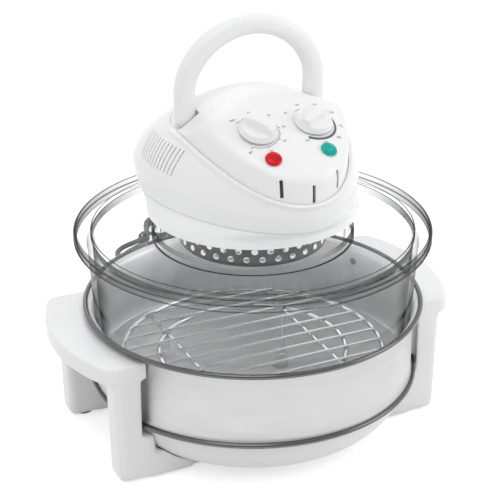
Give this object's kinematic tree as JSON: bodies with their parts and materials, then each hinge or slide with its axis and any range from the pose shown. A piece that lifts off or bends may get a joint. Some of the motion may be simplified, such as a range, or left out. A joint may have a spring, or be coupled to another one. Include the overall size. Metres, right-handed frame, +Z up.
{
  "type": "halogen oven",
  "caption": "Tabletop halogen oven: glass bowl in a steel band on a white stand, glass lid with lamp and fan head, dials, fold-back carry handle and mains cord.",
  "frame": {"origin": "on the ground below the axis of the glass bowl", "axes": "+Z up, -Y towards the nose of the head with the dials, +X to the right seen from the front"},
  "size_m": [0.397, 0.6464, 0.4109],
  "materials": {
    "white_plastic": "satin moulded plastic",
    "strap_plastic": "matte moulded plastic",
    "steel": "satin rolled sheet",
    "fasteners": "plated",
    "feet": "matte",
    "pads": "matte silicone",
    "glass": "clear",
    "rack_wire": "bright plated wire",
    "guard": "bright perforated sheet",
    "reflector": "bright sheet",
    "lamp": "clear quartz",
    "ceramic": "glazed ceramic",
    "red_lens": "clear tinted",
    "green_lens": "clear tinted",
    "dial_bodies": "matte",
    "shafts": "turned",
    "core": "stacked sheet",
    "coil": "wound wire",
    "cord": "matte",
    "tie": "matte",
    "brass_pins": "bright"
  },
  "bodies": {
    "stand": {"side_frame_left": "white_plastic", "side_frame_right": "white_plastic", "front_strap": "strap_plastic", "rear_strap": "strap_plastic", "base_dish": "strap_plastic", "steel_band": "steel", "band_screws": "fasteners", "strap_screws": "fasteners", "rubber_feet": "feet", "bowl_pads": "pads"},
    "bowl": {"glass_bowl": "glass"},
    "rack": {"wire_rack": "rack_wire", "rack_wires": "rack_wire"},
    "lid": {"glass_lid": "glass", "neck_ring": "white_plastic", "neck_seal": "pads", "reflector_pan": "reflector", "lamp_guard": "guard", "guard_screws": "fasteners", "halogen_lamp": "lamp", "lamp_clips": "ceramic", "upper_housing": "white_plastic", "housing_screws": "fasteners", "control_panel": "white_plastic", "red_lens": "red_lens", "green_lens": "green_lens", "pilot_lamps": "ceramic", "timer_body": "dial_bodies", "thermostat_body": "dial_bodies", "motor_stator": "core", "motor_coil": "coil", "motor_brackets": "shafts", "motor_bolts": "fasteners", "terminal_block": "ceramic", "safety_switch": "dial_bodies", "handle_pins": "fasteners", "cord_gland": "cord", "cord_lead": "cord", "cord_hank": "cord", "cord_tail": "cord", "cord_tie": "tie", "plug": "cord", "plug_pins": "brass_pins"},
    "handle": {"carry_handle": "white_plastic"},
    "timer_dial": {"timer_knob": "white_plastic", "timer_shaft": "shafts"},
    "thermostat_dial": {"thermostat_knob": "white_plastic", "thermostat_shaft": "shafts"},
    "fans": {"fan_shaft": "shafts", "motor_rotor": "core", "convection_fan": "reflector", "cooling_fan": "reflector"}
  },
  "joints": [
    {"name": "bowl_lift", "type": "slide", "parent": "stand", "child": "bowl", "axis": [0, 0, 1], "range_m": [0, 0.14]},
    {"name": "rack_lift", "type": "slide", "parent": "bowl", "child": "rack", "axis": [0, 0, 1], "range_m": [0, 0.1]},
    {"name": "lid_lift", "type": "slide", "parent": "bowl", "child": "lid", "axis": [0, 0, 1], "range_m": [0, 0.15]},
    {"name": "handle_fold", "type": "hinge", "parent": "lid", "child": "handle", "pos_m": [0, 0.007, 0.322], "axis": [-1, 0, 0], "range_deg": [0, 75]},
    {"name": "timer_turn", "type": "hinge", "parent": "lid", "child": "timer_dial", "pos_m": [-0.0272, -0.06744, 0.3269], "axis": [0, -0.4147, 0.91], "range_deg": [-200, 100]},
    {"name": "thermostat_turn", "type": "hinge", "parent": "lid", "child": "thermostat_dial", "pos_m": [0.0272, -0.06744, 0.3269], "axis": [0, -0.4147, 0.91], "range_deg": [-170, 100]},
    {"name": "fan_spin", "type": "hinge", "parent": "lid", "child": "fans", "pos_m": [0, 0, 0.222], "axis": [0, 0, 1], "continuous": true}
  ]
}
